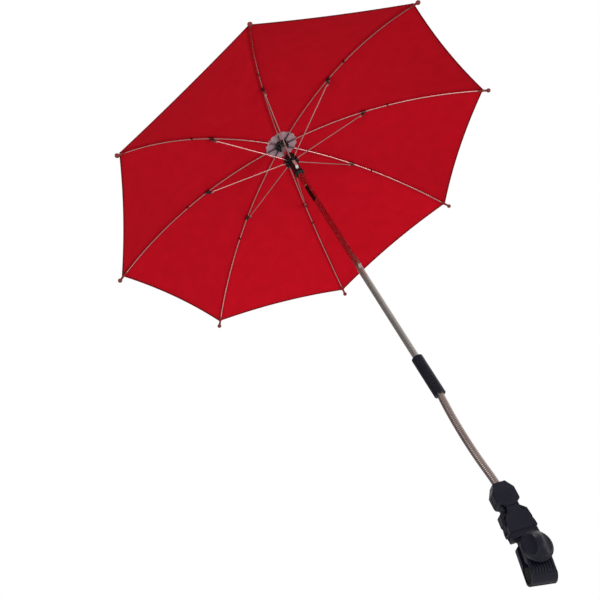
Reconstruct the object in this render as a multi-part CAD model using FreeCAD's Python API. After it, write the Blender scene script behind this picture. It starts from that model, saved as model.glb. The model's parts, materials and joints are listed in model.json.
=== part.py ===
"""Pram parasol: a folding canopy on a slim steel mast, a bendable coil neck and a buckled tube clamp.

Millimetres. +Z runs up the mast, +X to the right as seen from the front, and the front, where the clamp's
knob is, faces -Y. The origin is the middle of the clamp's tube seat. The jaws lean off the mast, and the
buckle is swung on their bolt and leans less, so both are drawn upright in the clamp's own frame and leaned
at the end.
"""
import FreeCAD, Part
import math
import os

Vec = FreeCAD.Vector
ORIGIN = Vec(0, 0, 0)
RIGHT = Vec(1, 0, 0)
BACK = Vec(0, 1, 0)
UP = Vec(0, 0, 1)
HALF_TURN = 180.0
FULL_TURN = 360.0

# Fits
running_gap = 0.06
seat_gap = 0.03
free_gap = 0.3
cut_overrun = 2.0

# Clamp jaws and their rubber pads
jaw_lean = 14.0
tube_radius = 11.0
pad_thickness = 1.5
pad_width = 28.0
pad_angle = 110.0
jaw_width = 32.0
jaw_wall = 3.0
jaw_split = 2.0
jaw_corner = 3.0
jaw_top_radius = 18.5
front_cheek_depth = 14.6
grip_ridge_count = 6
grip_ridge_depth = 1.2
grip_ridge_land_share = 0.45
grip_ridge_width = 22.0
grip_ridge_height = 15.0

# Clamp bolt, brass insert and knob
bolt_radius = 3.0
bolt_head_radius = 5.8
bolt_head_length = 4.0
bolt_head_sides = 6
insert_radius = 5.0
insert_length = 10.0
knob_radius = 20.0
knob_rim_height = 5.0
knob_dome_height = 17.0
knob_dome_radius = 18.2
knob_rim_round = 1.2
knob_fin_width = 8.0
knob_scoop_radius = 12.0
knob_scoop_height = 19.0
bolt_end_room = 4.0

# Buckle socket, which swings between the jaws on its tongue
buckle_lean = 5.0
tongue_radius = 11.0
tongue_thickness = 10.0
tongue_tube_gap = 2.5
block_gap = 1.5
block_width = 38.0
block_height = 10.0
block_thickness = 17.0
plate_lap = 2.0
plate_height = 30.0
plate_thickness = 3.8
plate_waist = 16.0
plate_foot_share = 0.13
plate_neck_share = 0.86
plate_neck_width = 18.0
plate_bow_share = 0.74
plate_cavity = 12.4
guide_wall = 1.7
guide_height = 13.0
pocket_floor = 3.0
pocket_lip = 1.8
lip_height = 3.0

# Buckle plug: head, blade and the two spring prongs
head_gap = 1.0
head_height = 34.0
head_width = 32.0
head_thickness = 20.0
head_crown_width = 17.0
head_corner = 2.0
head_step_shares = (0.06, 0.16, 0.27, 0.62)
head_shoulder_share = 0.9
blade_width = 12.0
blade_end_gap = 3.0
knuckle_radius = 2.2
knuckle_side = 10.5
knuckle_rise = 6.0
prong_arm = 3.0
prong_bulge = 20.4
prong_pad = 4.0
prong_shoulder_share = 0.2
barb_depth = 1.2
prong_room = 2.6

# Bendable coil neck
stub_length = 11.0
plug_seat = 22.0
neck_radius = 5.2
neck_root_radius = 4.75
neck_bore_radius = 1.7
coil_pitch = 2.8
coil_shares = (0.0, 0.2, 0.65, 0.85)
ball_radius = 2.6
joint_gap = 3.4
link_length = 38.0
link_count = 3
neck_top_length = 22.0
sleeve_seat = 18.0

# Connector sleeve and snap button
sleeve_length = 67.0
sleeve_radius = 8.5
sleeve_round = 1.2
mast_insert = 40.0
button_height = 18.0
button_radius = 2.4
button_leaf_thickness = 0.4
button_leaf_width = 4.4
button_leaf_length = 12.0
button_inset = 1.6

# Mast
mast_radius = 5.0
mast_wall = 0.6
mast_exposed = 478.0
mast_over_notch = 13.0
slot_drop = 107.0
slot_length = 36.0
slot_width = 6.6
slot_turn = -60.0
slot_leaf_width = 5.0
slot_leaf_lap = 6.0
slot_leaf_thickness = 0.6
slot_leaf_depth = 3.55

# Hub: notch, runner and the wire rings that the ribs and stretchers hinge on
rib_count = 8
rib_azimuth = 26.0
pivot_radius = 8.5
hinge_wire_radius = 0.5
hinge_wire_gap = 0.15
hub_radius = 11.5
hub_slot_floor = 6.3
hub_slot_width = 3.0
hub_lip = 3.2
notch_rise = 1.5
runner_bore_gap = 0.4
runner_radius = 7.1
runner_length = 35.0
runner_crown_rise = 8.5
runner_crown_drop = 6.0
runner_foot_radius = 8.5
runner_foot_height = 5.0
runner_window_width = 6.0
runner_window_top = 7.0
runner_window_length = 21.0
catch_width = 5.0
catch_leaf_thickness = 0.6
catch_leaf_depth = 3.5
catch_leaf_length = 30.0
catch_nose_length = 19.0
catch_face_share = 0.7
catch_proud = 0.4

# Ribs, stretchers and tips
tip_radius = 340.0
tip_drop = 102.0
joint_radius = 148.0
fold_angle = 70.0
rib_radius = 1.05
eye_radius = 1.6
eye_thickness = 2.0
shank_length = 5.5
shank_height = 2.0
pin_drop = 3.8
pin_radius = 0.8
lug_radius = 1.7
lug_thickness = 1.6
clip_radius = 2.1
clip_length = 9.0
cheek_thickness = 0.7
cheek_radius = 1.5
fork_length = 7.0
rivet_head_radius = 1.3
rivet_head_height = 0.5
stretcher_radius = 1.0
ball_tip_radius = 3.6
ball_tip_reach = 10.0
ferrule_radius = 1.9
ferrule_bore_length = 14.0

# Canopy cloth, inner rosette and top cap
cloth_lift = 2.5
cloth_thickness = 0.8
cloth_hole = 9.0
cloth_gap = 0.2
cloth_stations = 9
hem_inset = 5.5
hem_scoop = 5.5
rosette_radius = 28.5
rosette_lift = 1.9
rosette_thickness = 0.3
cap_radius = 11.0
cap_height = 15.0
cap_dome_height = 7.5
cap_lip = 1.5
cap_waist_radius = 8.6
cap_waist_height = 4.0

# Heights up the clamp, in its own upright frame
jaw_radius = tube_radius + pad_thickness + jaw_wall
bolt_height = tube_radius + tongue_tube_gap + tongue_radius
block_bottom = bolt_height + jaw_top_radius + block_gap
block_top = block_bottom + block_height
plate_bottom = block_top - plate_lap
plate_top = block_top + plate_height
head_bottom = plate_top + head_gap
head_top = head_bottom + head_height
stub_top = head_top + stub_length

# Heights up the mast, in the shared frame
jaw_angle = math.radians(jaw_lean)
buckle_angle = math.radians(buckle_lean)
bolt_x = bolt_height * math.sin(jaw_angle)
bolt_z = bolt_height * math.cos(jaw_angle)
buckle_reach = stub_top - bolt_height
mast_x = bolt_x + buckle_reach * math.sin(buckle_angle)
neck_start_z = bolt_z + buckle_reach * math.cos(buckle_angle)
neck_joint_z = [neck_start_z + link_length * k for k in range(link_count + 1)]
sleeve_bottom = neck_joint_z[-1] + neck_top_length
sleeve_top = sleeve_bottom + sleeve_length
mast_bottom = sleeve_top - mast_insert
notch_z = sleeve_top + mast_exposed
button_z = mast_bottom + button_height

# The rib's bend, and the linkage: rib and stretcher reach equally far from their shared pin
rib_bend = ((tip_radius - pivot_radius) ** 2 + tip_drop ** 2) / (2 * tip_drop)
joint_turn = math.asin((joint_radius - pivot_radius) / rib_bend)
tip_turn = math.asin((tip_radius - pivot_radius) / rib_bend)
pin_x = pivot_radius + (rib_bend - pin_drop) * math.sin(joint_turn)
pin_z = (rib_bend - pin_drop) * math.cos(joint_turn) - rib_bend
linkage_reach = math.hypot(pin_x - pivot_radius, pin_z)
linkage_angle = math.atan2(-pin_z, pin_x - pivot_radius)
runner_z = 2 * pin_z
folded_angle = linkage_angle + math.radians(fold_angle)
runner_travel = 2 * linkage_reach * (math.sin(folded_angle) - math.sin(linkage_angle))
catch_z = runner_z - runner_window_top - free_gap


def cylinder(radius, length, base, axis=UP):
    """Round bar from its base centre along an axis."""
    return Part.makeCylinder(radius, length, base, axis)


def pipe(outer, inner, length, base, axis=UP):
    """Round bar with a through bore."""
    bore = cylinder(inner, length + 2 * cut_overrun, base - axis * cut_overrun, axis)
    return cylinder(outer, length, base, axis).cut(bore)


def block(x, y, z):
    """Box between a low and a high limit on each axis."""
    return Part.makeBox(x[1] - x[0], y[1] - y[0], z[1] - z[0], Vec(x[0], y[0], z[0]))


def rounded_bar(half_x, half_y, corner, z):
    """Upright bar of rounded rectangular section."""
    bar = block((-half_x, half_x), (-half_y, half_y), z)
    upright = [e for e in bar.Edges if abs(e.tangentAt(e.FirstParameter).z) == 1]
    return bar.makeFillet(corner, upright)


def outlined(outline, place):
    """Face inside an outline of corners, as pairs of numbers, and arcs, as pairs of their middle and end."""
    corners = [item[-1] if isinstance(item[0], tuple) else item for item in outline]
    edges = []
    for item, last, end in zip(outline, corners[-1:] + corners, corners):
        if isinstance(item[0], tuple):
            edges.append(Part.Arc(place(*last), place(*item[0]), place(*end)).toShape())
        else:
            edges.append(Part.makeLine(place(*last), place(*end)))
    return Part.Face(Part.Wire(edges))


def front_plate(outline, y):
    """Plate whose outline is drawn as the front sees it, in x and z, between two depths."""
    return outlined(outline, lambda px, pz: Vec(px, y[0], pz)).extrude(BACK * (y[1] - y[0]))


def side_plate(outline, x):
    """Plate whose outline is drawn as the side sees it, in y and z, between two widths."""
    return outlined(outline, lambda py, pz: Vec(x[0], py, pz)).extrude(RIGHT * (x[1] - x[0]))


def turned(profile):
    """Solid turned round the upright axis from a closed profile of radius and height."""
    return outlined(profile, lambda r, z: Vec(r, 0, z)).revolve(ORIGIN, UP, FULL_TURN)


def dome(radius, low, high):
    """Last arc of a turned profile: a ball's cap that rises from a radius to the axis."""
    rise = high - low
    ball = (radius ** 2 + rise ** 2) / (2 * rise)
    turn = math.atan2(rise, radius)
    return (ball * math.sin(turn), high - ball + ball * math.cos(turn)), (0, high)


def both_sides(half):
    """Closed outline from its right half, listed from the bottom up, with corners only."""
    return half + [(-px, pz) for px, pz in reversed(half)]


def joined(first, *others):
    """One solid from touching solids, without the seams between them."""
    return first.fuse(list(others)).removeSplitter()


def jaw_placed(shape):
    """A piece of the jaws carried from the clamp's upright frame into the shared frame."""
    place = FreeCAD.Placement(ORIGIN, FreeCAD.Rotation(BACK, jaw_lean))
    return shape.transformed(place.toMatrix(), True)


def buckle_placed(shape):
    """A piece of the buckle carried from the clamp's upright frame, swung on the bolt to its own lean."""
    swing = FreeCAD.Rotation(BACK, buckle_lean)
    place = FreeCAD.Placement(Vec(bolt_x, 0, bolt_z) - swing.multVec(UP * bolt_height), swing)
    return shape.transformed(place.toMatrix(), True)


def hub_placed(shape, index=0):
    """The shape carried from the canopy's frame, at the notch, to one rib's place round the mast."""
    turn = rib_azimuth + index * FULL_TURN / rib_count
    place = FreeCAD.Placement(Vec(mast_x, 0, notch_z), FreeCAD.Rotation(UP, turn))
    return shape.transformed(place.toMatrix(), True)


def mast_placed(shape):
    """The shape carried from the notch on the mast's axis into the shared frame, not turned."""
    place = FreeCAD.Placement(Vec(mast_x, 0, notch_z), FreeCAD.Rotation())
    return shape.transformed(place.toMatrix(), True)


def save(node, *shapes):
    """Writes one node, of one solid or a group of solids, and prints its volume."""
    shape = shapes[0] if len(shapes) == 1 else Part.makeCompound(list(shapes))
    solids = shape.Solids
    if not shape.isValid() or len(solids) != len(shapes):
        raise ValueError(f"{node}: {len(solids)} solids from {len(shapes)} pieces, valid {shape.isValid()}")
    single = solids[0] if len(solids) == 1 else Part.makeCompound(solids)
    single.exportStep(f"parts/{node}.step")
    print(f"{node}: {shape.Volume:.1f} mm3")


def jaw_half(cheek_depth):
    """One clamp jaw, drawn as the back one: half a barrel round the tube and a cheek by the tongue."""
    half = jaw_width / 2
    top = bolt_height + jaw_top_radius
    inner = jaw_split / 2
    barrel = cylinder(jaw_radius, jaw_width, Vec(-half, 0, 0), RIGHT)
    barrel = barrel.common(block((-half, half), (inner, jaw_radius), (-jaw_radius, jaw_radius)))
    cheek = block((-half, half), (inner, cheek_depth), (0, top))
    body = joined(barrel, cheek)
    crown = cylinder(jaw_top_radius, jaw_radius, Vec(0, 0, bolt_height), BACK)
    stem = block((-half, half), (0, jaw_radius), (-jaw_radius, bolt_height))
    body = body.common(joined(crown, stem))
    body = body.common(rounded_bar(half, jaw_radius, jaw_corner, (-jaw_radius, top)))
    body = body.cut(cylinder(tube_radius + pad_thickness, jaw_width, Vec(-half, 0, 0), RIGHT))
    slot_depth = tongue_thickness / 2 + free_gap
    body = body.cut(block((-half, half), (0, slot_depth), (tube_radius, top)))
    return body.cut(cylinder(bolt_radius + free_gap, jaw_radius, Vec(0, 0, bolt_height), BACK))


def jaw_pad():
    """Rubber liner of the back jaw: a slice of a ring between the jaw and the tube."""
    outer = tube_radius + pad_thickness - seat_gap
    liner = pipe(outer, tube_radius, pad_width, Vec(-pad_width / 2, 0, 0), RIGHT)
    reach = 2 * outer
    half_angle = math.radians(pad_angle / 2)
    wedge = [(0, 0), (reach, -reach * math.tan(half_angle)), (reach, reach * math.tan(half_angle))]
    return liner.common(side_plate(wedge, (-pad_width / 2, pad_width / 2)))


def grip_grooves():
    """Grooves between the grip ridges on the front jaw's barrel, drawn at the back like the jaw."""
    pitch = grip_ridge_width / grip_ridge_count
    width = pitch * (1 - grip_ridge_land_share)
    span = block((-jaw_width, jaw_width), (0, 2 * jaw_radius), (-grip_ridge_height / 2, grip_ridge_height))
    grooves = []
    for k in range(grip_ridge_count + 1):
        low = Vec(k * pitch - (grip_ridge_width + width) / 2, 0, 0)
        ring = pipe(jaw_radius + cut_overrun, jaw_radius - grip_ridge_depth, width, low, RIGHT)
        grooves.append(ring.common(span))
    return grooves


def hex_bar(radius, y):
    """Six-sided bar on the clamp bolt's axis between two depths."""
    turns = [2 * math.pi * k / bolt_head_sides for k in range(bolt_head_sides)]
    corners = [(radius * math.cos(turn), bolt_height + radius * math.sin(turn)) for turn in turns]
    return front_plate(corners, y)


def clamp_pieces():
    """Jaws, pads, bolt, insert and knob."""
    bolt_axis = Vec(0, 0, bolt_height)
    head_start = jaw_radius - bolt_head_length
    pocket = hex_bar(bolt_head_radius + free_gap, (head_start, jaw_radius + cut_overrun))
    save("back_jaw", jaw_placed(jaw_half(jaw_radius).cut(pocket)))
    save("back_pad", jaw_placed(jaw_pad()))
    front = jaw_half(front_cheek_depth).cut(grip_grooves())
    front.rotate(ORIGIN, UP, HALF_TURN)
    save("front_jaw", jaw_placed(front))
    front_pad = jaw_pad()
    front_pad.rotate(ORIGIN, UP, HALF_TURN)
    save("front_pad", jaw_placed(front_pad))
    knob_base = -front_cheek_depth - free_gap
    bolt_end = knob_base - insert_length - free_gap
    shank = cylinder(bolt_radius, head_start + seat_gap - bolt_end, bolt_axis + BACK * bolt_end, BACK)
    head = hex_bar(bolt_head_radius, (head_start + seat_gap, jaw_radius))
    save("clamp_bolt", jaw_placed(joined(shank, head)))
    insert = pipe(insert_radius, bolt_radius + running_gap, insert_length, ORIGIN)
    for node, shape in (("knob_insert", insert), ("knob", knob_shape())):
        shape.rotate(ORIGIN, RIGHT, HALF_TURN / 2)
        shape.translate(bolt_axis + BACK * knob_base)
        save(node, jaw_placed(shape))


def knob_shape():
    """Round hand knob on an upright axis: a rim, a dome scooped both sides of a fin, the insert's pocket."""
    body = turned([
        (0, 0), (knob_radius - knob_rim_round, 0), (knob_radius, knob_rim_round),
        (knob_radius, knob_rim_height - knob_rim_round), (knob_radius - knob_rim_round, knob_rim_height),
        (knob_dome_radius, knob_rim_height), dome(knob_dome_radius, knob_rim_height, knob_dome_height)])
    for side in (-1, 1):
        middle = Vec(side * (knob_fin_width / 2 + knob_scoop_radius), -knob_radius, knob_scoop_height)
        body = body.cut(cylinder(knob_scoop_radius, 2 * knob_radius, middle, BACK))
    body = body.cut(cylinder(insert_radius + seat_gap, insert_length + seat_gap, ORIGIN))
    return body.cut(cylinder(bolt_radius + free_gap, insert_length + bolt_end_room, ORIGIN))


def buckle_socket():
    """Socket half of the buckle: two flared plates, a block with prong pockets and the swinging tongue."""
    half = block_width / 2
    cavity = plate_cavity / 2
    foot = plate_bottom + plate_height * plate_foot_share
    neck = plate_bottom + plate_height * plate_neck_share
    bow = (plate_neck_width / 2 + (half - plate_neck_width / 2) * plate_bow_share, (foot + neck) / 2)
    outline = [
        (half, plate_bottom), (half, foot), (bow, (plate_neck_width / 2, neck)), (plate_waist / 2, plate_top),
        (-plate_waist / 2, plate_top), (-plate_neck_width / 2, neck), ((-bow[0], bow[1]), (-half, foot)),
        (-half, plate_bottom)]
    front = front_plate(outline, (-cavity - plate_thickness, -cavity))
    back = front_plate(outline, (cavity, cavity + plate_thickness))
    body = rounded_bar(half, block_thickness / 2, jaw_corner, (block_bottom, block_top))
    guides = []
    guide_side = blade_width / 2 + free_gap
    for side in (-1, 1):
        limits = sorted((side * guide_side, side * (guide_side + guide_wall)))
        guides.append(block(limits, (-cavity, cavity), (plate_top - guide_height, plate_top)))
    tongue_half = tongue_thickness / 2
    base = Vec(0, -tongue_half, bolt_height)
    eye = cylinder(tongue_radius, tongue_thickness, base, BACK)
    arm = block((-tongue_radius, tongue_radius), (-tongue_half, tongue_half), (bolt_height, block_bottom))
    body = joined(body, front, back, eye, arm, *guides)
    body = body.cut(cylinder(bolt_radius + running_gap, tongue_thickness, base, BACK))
    tip = half - pocket_lip
    room = tip - barb_depth - prong_arm - prong_room
    floor = block_bottom + pocket_floor
    for side in (-1, 1):
        pocket = block(sorted((side * room, side * tip)), (-cavity, cavity), (floor, block_top))
        window = block(sorted((side * tip, side * (half + cut_overrun))), (-cavity, cavity),
                       (floor, block_top - lip_height))
        body = body.cut([pocket, window])
    return body


def prong(side):
    """Spring prong: a knuckle in the plug's head, a bowed arm for the finger and a barbed tip."""
    depth = plate_cavity / 2 - free_gap
    outer = block_width / 2 - pocket_lip - free_gap
    inner = outer - prong_arm
    knuckle_z = head_bottom + knuckle_rise
    root_out = knuckle_side + prong_arm / 2
    root_in = knuckle_side - prong_arm / 2
    lip_z = block_top - lip_height - free_gap
    tip_z = block_bottom + pocket_floor + free_gap
    bow_top = plate_top - plate_height * prong_shoulder_share
    bow_middle = (bow_top + block_top) / 2
    pad_in = prong_bulge - prong_pad
    outline = [
        (root_out, knuckle_z), (root_out, plate_top), (prong_bulge - barb_depth, bow_top),
        (prong_bulge, bow_middle), (outer, block_top + plate_lap), (outer, lip_z),
        (outer + barb_depth, lip_z), (outer, tip_z), (inner, tip_z), (inner, block_top + plate_lap),
        (pad_in, bow_middle), (pad_in - barb_depth, bow_top), (root_in, plate_top - plate_lap),
        (root_in, knuckle_z)]
    arm = front_plate([(side * px, pz) for px, pz in outline], (-depth, depth))
    knuckle = cylinder(knuckle_radius, 2 * depth, Vec(side * knuckle_side, -depth, knuckle_z), BACK)
    return joined(arm, knuckle)


def buckle_plug():
    """Plug half of the buckle: the eight-sided head with the neck's seat, knuckle sockets and the blade."""
    rises = [head_bottom + head_height * share for share in head_step_shares]
    half = head_width / 2
    outline = both_sides([
        (plate_waist / 2, head_bottom), (plate_waist / 2, rises[0]), (half * head_shoulder_share, rises[1]),
        (half, rises[2]), (half, rises[3]), (head_crown_width / 2, head_top)])
    depth = head_thickness / 2
    head = front_plate(outline, (-depth, depth))
    head = head.common(rounded_bar(half, depth, head_corner, (head_bottom, head_top)))
    side_bar = [(-depth, head_bottom), (depth, head_bottom), (depth, rises[3]),
                (depth - head_corner, head_top), (head_corner - depth, head_top), (-depth, rises[3])]
    head = head.common(side_plate(side_bar, (-half, half)))
    blade_depth = plate_cavity / 2 - free_gap
    blade_half = blade_width / 2
    blade = block((-blade_half, blade_half), (-blade_depth, blade_depth),
                  (block_top + blade_end_gap, head_bottom + head_gap))
    body = joined(head, blade)
    knuckle_z = head_bottom + knuckle_rise
    slot_depth = plate_cavity / 2
    for side in (-1, 1):
        place = Vec(side * knuckle_side, -slot_depth, knuckle_z)
        seat = cylinder(knuckle_radius + running_gap, 2 * slot_depth, place, BACK)
        swing = prong_arm / 2 + free_gap
        limits = (side * knuckle_side - swing, side * knuckle_side + swing)
        body = body.cut([seat, block(limits, (-slot_depth, slot_depth), (head_bottom, knuckle_z))])
    return body.cut(cylinder(neck_radius + seat_gap, plug_seat, Vec(0, 0, head_top - plug_seat)))


def coil_hose(low, high):
    """Ribbed outside of the coil neck between two heights: one crest for each turn of the coil."""
    turns = max(1, round((high - low) / coil_pitch))
    pitch = (high - low) / turns
    radii = (neck_root_radius, neck_radius, neck_radius, neck_root_radius)
    rings = []
    for k in range(turns):
        for share, radius in zip(coil_shares, radii):
            rings.append((low + (k + share) * pitch, radius))
    rings.append((high, neck_root_radius))
    wires = [Part.Wire(Part.makeCircle(radius, Vec(0, 0, z), UP)) for z, radius in rings]
    return Part.makeLoft(wires, True, True)


def neck_piece(low, high, cup_z=None, ball_z=None, plain_low=None, plain_high=None):
    """Stretch of neck between two heights, with a ball above it, a cup below it and plain, seated ends."""
    body = coil_hose(low, high)
    if plain_low is not None:
        body = joined(body, cylinder(neck_radius, low - plain_low, Vec(0, 0, plain_low)))
    if plain_high is not None:
        body = joined(body, cylinder(neck_root_radius, plain_high - high, Vec(0, 0, high)))
    if ball_z is not None:
        body = joined(body, Part.makeSphere(ball_radius, Vec(0, 0, ball_z)))
    if cup_z is not None:
        body = body.cut(Part.makeSphere(ball_radius + running_gap, Vec(0, 0, cup_z)))
    bottom = body.BoundBox.ZMin - cut_overrun
    top = body.BoundBox.ZMax + cut_overrun
    return body.cut(cylinder(neck_bore_radius, top - bottom, Vec(0, 0, bottom)))


def neck_pieces():
    """The coil neck, from its stub in the plug to its end in the sleeve, on ball joints."""
    half_gap = joint_gap / 2
    stub = neck_piece(head_top, stub_top - half_gap, ball_z=stub_top, plain_low=head_top - plug_seat)
    save("neck_lower", buckle_placed(stub))
    for k in range(link_count):
        low, high = neck_joint_z[k], neck_joint_z[k + 1]
        link = neck_piece(low + half_gap, high - half_gap, cup_z=low, ball_z=high)
        link.translate(RIGHT * mast_x)
        save(f"neck_link_{k + 1}", link)
    low = neck_joint_z[-1]
    upper = neck_piece(low + half_gap, sleeve_bottom, cup_z=low, plain_high=sleeve_bottom + sleeve_seat)
    upper.translate(RIGHT * mast_x)
    save("neck_upper", upper)


def mast_pieces():
    """Connector sleeve, mast tube, snap button, catch springs and the flat leaf in the mast's slot."""
    foot = Vec(mast_x, 0, sleeve_bottom)
    sleeve = cylinder(sleeve_radius, sleeve_length, foot)
    sleeve = sleeve.makeFillet(sleeve_round, [e for e in sleeve.Edges if len(e.Vertexes) == 1])
    mast_bore = cylinder(mast_radius + running_gap, mast_insert + free_gap,
                         Vec(mast_x, 0, mast_bottom - free_gap))
    neck_bore = cylinder(neck_root_radius + seat_gap, sleeve_seat + seat_gap, foot)
    button_hole = cylinder(button_radius + free_gap, sleeve_radius, Vec(mast_x, 0, button_z), BACK)
    save("connector_sleeve", sleeve.cut([mast_bore, neck_bore, button_hole]))

    bore = mast_radius - mast_wall
    tube = pipe(mast_radius, bore, notch_z + mast_over_notch - mast_bottom, Vec(mast_x, 0, mast_bottom))
    slots = [cylinder(button_radius + running_gap, mast_radius, Vec(mast_x, 0, button_z), BACK)]
    slot_half = catch_width / 2 + free_gap
    for drop in (0, runner_travel):
        top = notch_z + catch_z - drop + free_gap
        slots.append(block((mast_x - slot_half, mast_x + slot_half), (-2 * mast_radius, 0),
                           (top - catch_nose_length - 2 * free_gap, top)))
    slot_z = (-slot_drop - slot_length, -slot_drop)
    leaf_slot = block((-slot_width / 2, slot_width / 2), (-2 * mast_radius, 0), slot_z)
    leaf_slot.rotate(ORIGIN, UP, slot_turn)
    save("mast_tube", tube.cut(slots + [mast_placed(leaf_slot)]))

    pin_start = button_inset
    pin = cylinder(button_radius, sleeve_radius - free_gap - pin_start, Vec(0, pin_start, 0), BACK)
    leaf_half = button_leaf_width / 2
    leaf = block((-leaf_half, leaf_half), (pin_start - button_leaf_thickness, pin_start),
                 (-button_leaf_length / 2, button_leaf_length / 2))
    button = joined(pin, leaf)
    button.translate(Vec(mast_x, 0, button_z))
    save("snap_button", button)

    save("top_catch", mast_placed(catch_spring(0)))
    save("bottom_catch", mast_placed(catch_spring(runner_travel)))
    leaf = block((-slot_leaf_width / 2, slot_leaf_width / 2),
                 (-slot_leaf_depth, slot_leaf_thickness - slot_leaf_depth),
                 (slot_z[0] - slot_leaf_lap, slot_z[1] + slot_leaf_lap))
    leaf.rotate(ORIGIN, UP, slot_turn)
    save("slot_leaf", mast_placed(leaf))


def catch_spring(drop):
    """Leaf catch in the mast: a long leaf inside the tube with a nose through the slot, square on top."""
    top = catch_z - drop
    nose_out = runner_radius + catch_proud
    inner = catch_leaf_depth - catch_leaf_thickness
    outline = [
        (-inner, top), (-nose_out, top), (-nose_out, top - catch_nose_length * catch_face_share),
        (-catch_leaf_depth, top - catch_nose_length), (-catch_leaf_depth, top - catch_leaf_length),
        (-inner, top - catch_leaf_length)]
    return side_plate(outline, (-catch_width / 2, catch_width / 2))


def hub_ring(low, high, bore, groove_low, groove_high):
    """Slotted hub ring: eight slots for the hinge eyes and a groove for the wire ring."""
    body = pipe(hub_radius, bore, high - low, Vec(0, 0, low))
    slot_half = hub_slot_width / 2
    for k in range(rib_count):
        slot = block((hub_slot_floor, 2 * hub_radius), (-slot_half, slot_half), (low, high))
        slot.rotate(ORIGIN, UP, k * FULL_TURN / rib_count)
        body = body.cut(slot)
    room = hinge_wire_radius + seat_gap
    groove = pipe(pivot_radius + room, pivot_radius - room, groove_high - groove_low, Vec(0, 0, groove_low))
    return body.cut(groove)


def hub_pieces():
    """Top notch, runner, their wire rings, the rosette under the cloth and the cap above it."""
    room = hinge_wire_radius + seat_gap
    notch = hub_ring(-hub_lip, notch_rise, mast_radius + seat_gap, -hub_lip, room)
    save("top_notch", hub_placed(notch))
    wire = Part.makeTorus(pivot_radius, hinge_wire_radius)
    save("notch_wire", hub_placed(wire))
    bore = mast_radius + runner_bore_gap
    crown = hub_ring(-runner_crown_drop, runner_crown_rise, bore, -room, runner_crown_rise)
    bottom = Vec(0, 0, -runner_length)
    tail = pipe(runner_radius, bore, runner_length - runner_crown_drop, bottom)
    foot = pipe(runner_foot_radius, bore, runner_foot_height, bottom)
    runner = hub_placed(joined(crown, tail, foot))
    runner.translate(UP * runner_z)
    window_half = runner_window_width / 2
    window = block((mast_x - window_half, mast_x + window_half), (-2 * runner_radius, 0),
                   (notch_z + runner_z - runner_window_top - runner_window_length,
                    notch_z + runner_z - runner_window_top))
    save("runner", runner.cut(window))
    runner_wire = hub_placed(Part.makeTorus(pivot_radius, hinge_wire_radius))
    runner_wire.translate(UP * runner_z)
    save("runner_wire", runner_wire)

    fall = rib_drop(rosette_radius)
    inner = mast_radius + free_gap
    rosette = turned([
        (inner, rosette_lift), (rosette_radius, rosette_lift - fall),
        (rosette_radius, rosette_lift - fall + rosette_thickness), (inner, rosette_lift + rosette_thickness)])
    save("rosette", mast_placed(rosette))
    low = cloth_lift + cloth_thickness + free_gap
    waist_top = low + cap_waist_height
    dome_low = low + cap_height - cap_dome_height
    cap = turned([
        (0, low), (cap_waist_radius, low), (cap_waist_radius, waist_top), (cap_radius, waist_top + cap_lip),
        (cap_radius, dome_low), dome(cap_radius, dome_low, low + cap_height)])
    cap = cap.cut(cylinder(mast_radius + seat_gap, mast_over_notch + seat_gap - low, Vec(0, 0, low)))
    save("top_cap", mast_placed(cap))


def rib_drop(radius):
    """How far the rib's middle line has fallen below the notch at a radius."""
    return rib_bend - math.sqrt(rib_bend ** 2 - (radius - pivot_radius) ** 2)


def along_rib(shape, turn):
    """Carries a shape drawn at the notch's pivot along the rib's bend by an angle."""
    moved = shape.copy()
    moved.rotate(Vec(pivot_radius, 0, -rib_bend), BACK, math.degrees(turn))
    return moved


def hinge_eye(shank):
    """Flattened end that hinges on the wire ring, with its shank running out along x."""
    half = eye_thickness / 2
    base = Vec(pivot_radius, -half, 0)
    eye = cylinder(eye_radius, eye_thickness, base, BACK)
    bar = block((pivot_radius, pivot_radius + shank), (-half, half), (-shank_height / 2, shank_height / 2))
    return joined(eye, bar).cut(cylinder(hinge_wire_radius + hinge_wire_gap, eye_thickness, base, BACK))


def rib_shape():
    """Bent rib wire from its eye at the notch to its end in the tip."""
    start = shank_length / rib_bend
    tip_middle = tip_turn - ball_tip_reach / rib_bend
    end = tip_middle + (ferrule_bore_length / 2 - free_gap) / rib_bend
    section = Part.Face(Part.Wire(Part.makeCircle(rib_radius, Vec(pivot_radius, 0, 0), RIGHT)))
    wire = along_rib(section, start)
    wire = wire.revolve(Vec(pivot_radius, 0, -rib_bend), BACK, math.degrees(end - start))
    return joined(wire, hinge_eye(shank_length + rib_radius))


def rib_clip():
    """Clip crimped round the rib, with the lug that the stretcher is riveted to."""
    start = Vec(pivot_radius - clip_length / 2, 0, 0)
    sleeve = cylinder(clip_radius, clip_length, start, RIGHT)
    half = lug_thickness / 2
    pin = Vec(pivot_radius, -half, -pin_drop)
    lug = cylinder(lug_radius, lug_thickness, pin, BACK)
    web = block((pivot_radius - lug_radius, pivot_radius + lug_radius), (-half, half), (-pin_drop, 0))
    clip = joined(sleeve, lug, web)
    rib_bore = cylinder(rib_radius + seat_gap, clip_length, start, RIGHT)
    clip = clip.cut([rib_bore, cylinder(pin_radius + running_gap, lug_thickness, pin, BACK)])
    return along_rib(clip, joint_turn)


def tip_shape():
    """Moulded tip: a ferrule over the rib's end and a ball that the cloth's corner is sewn under."""
    start = Vec(pivot_radius - ferrule_bore_length / 2, 0, 0)
    ferrule = cylinder(ferrule_radius, ferrule_bore_length / 2 + ball_tip_reach, start, RIGHT)
    ball = Part.makeSphere(ball_tip_radius, Vec(pivot_radius + ball_tip_reach, 0, 0))
    tip = joined(ferrule, ball).cut(cylinder(rib_radius + running_gap, ferrule_bore_length, start, RIGHT))
    return along_rib(tip, tip_turn - ball_tip_reach / rib_bend)


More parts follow.
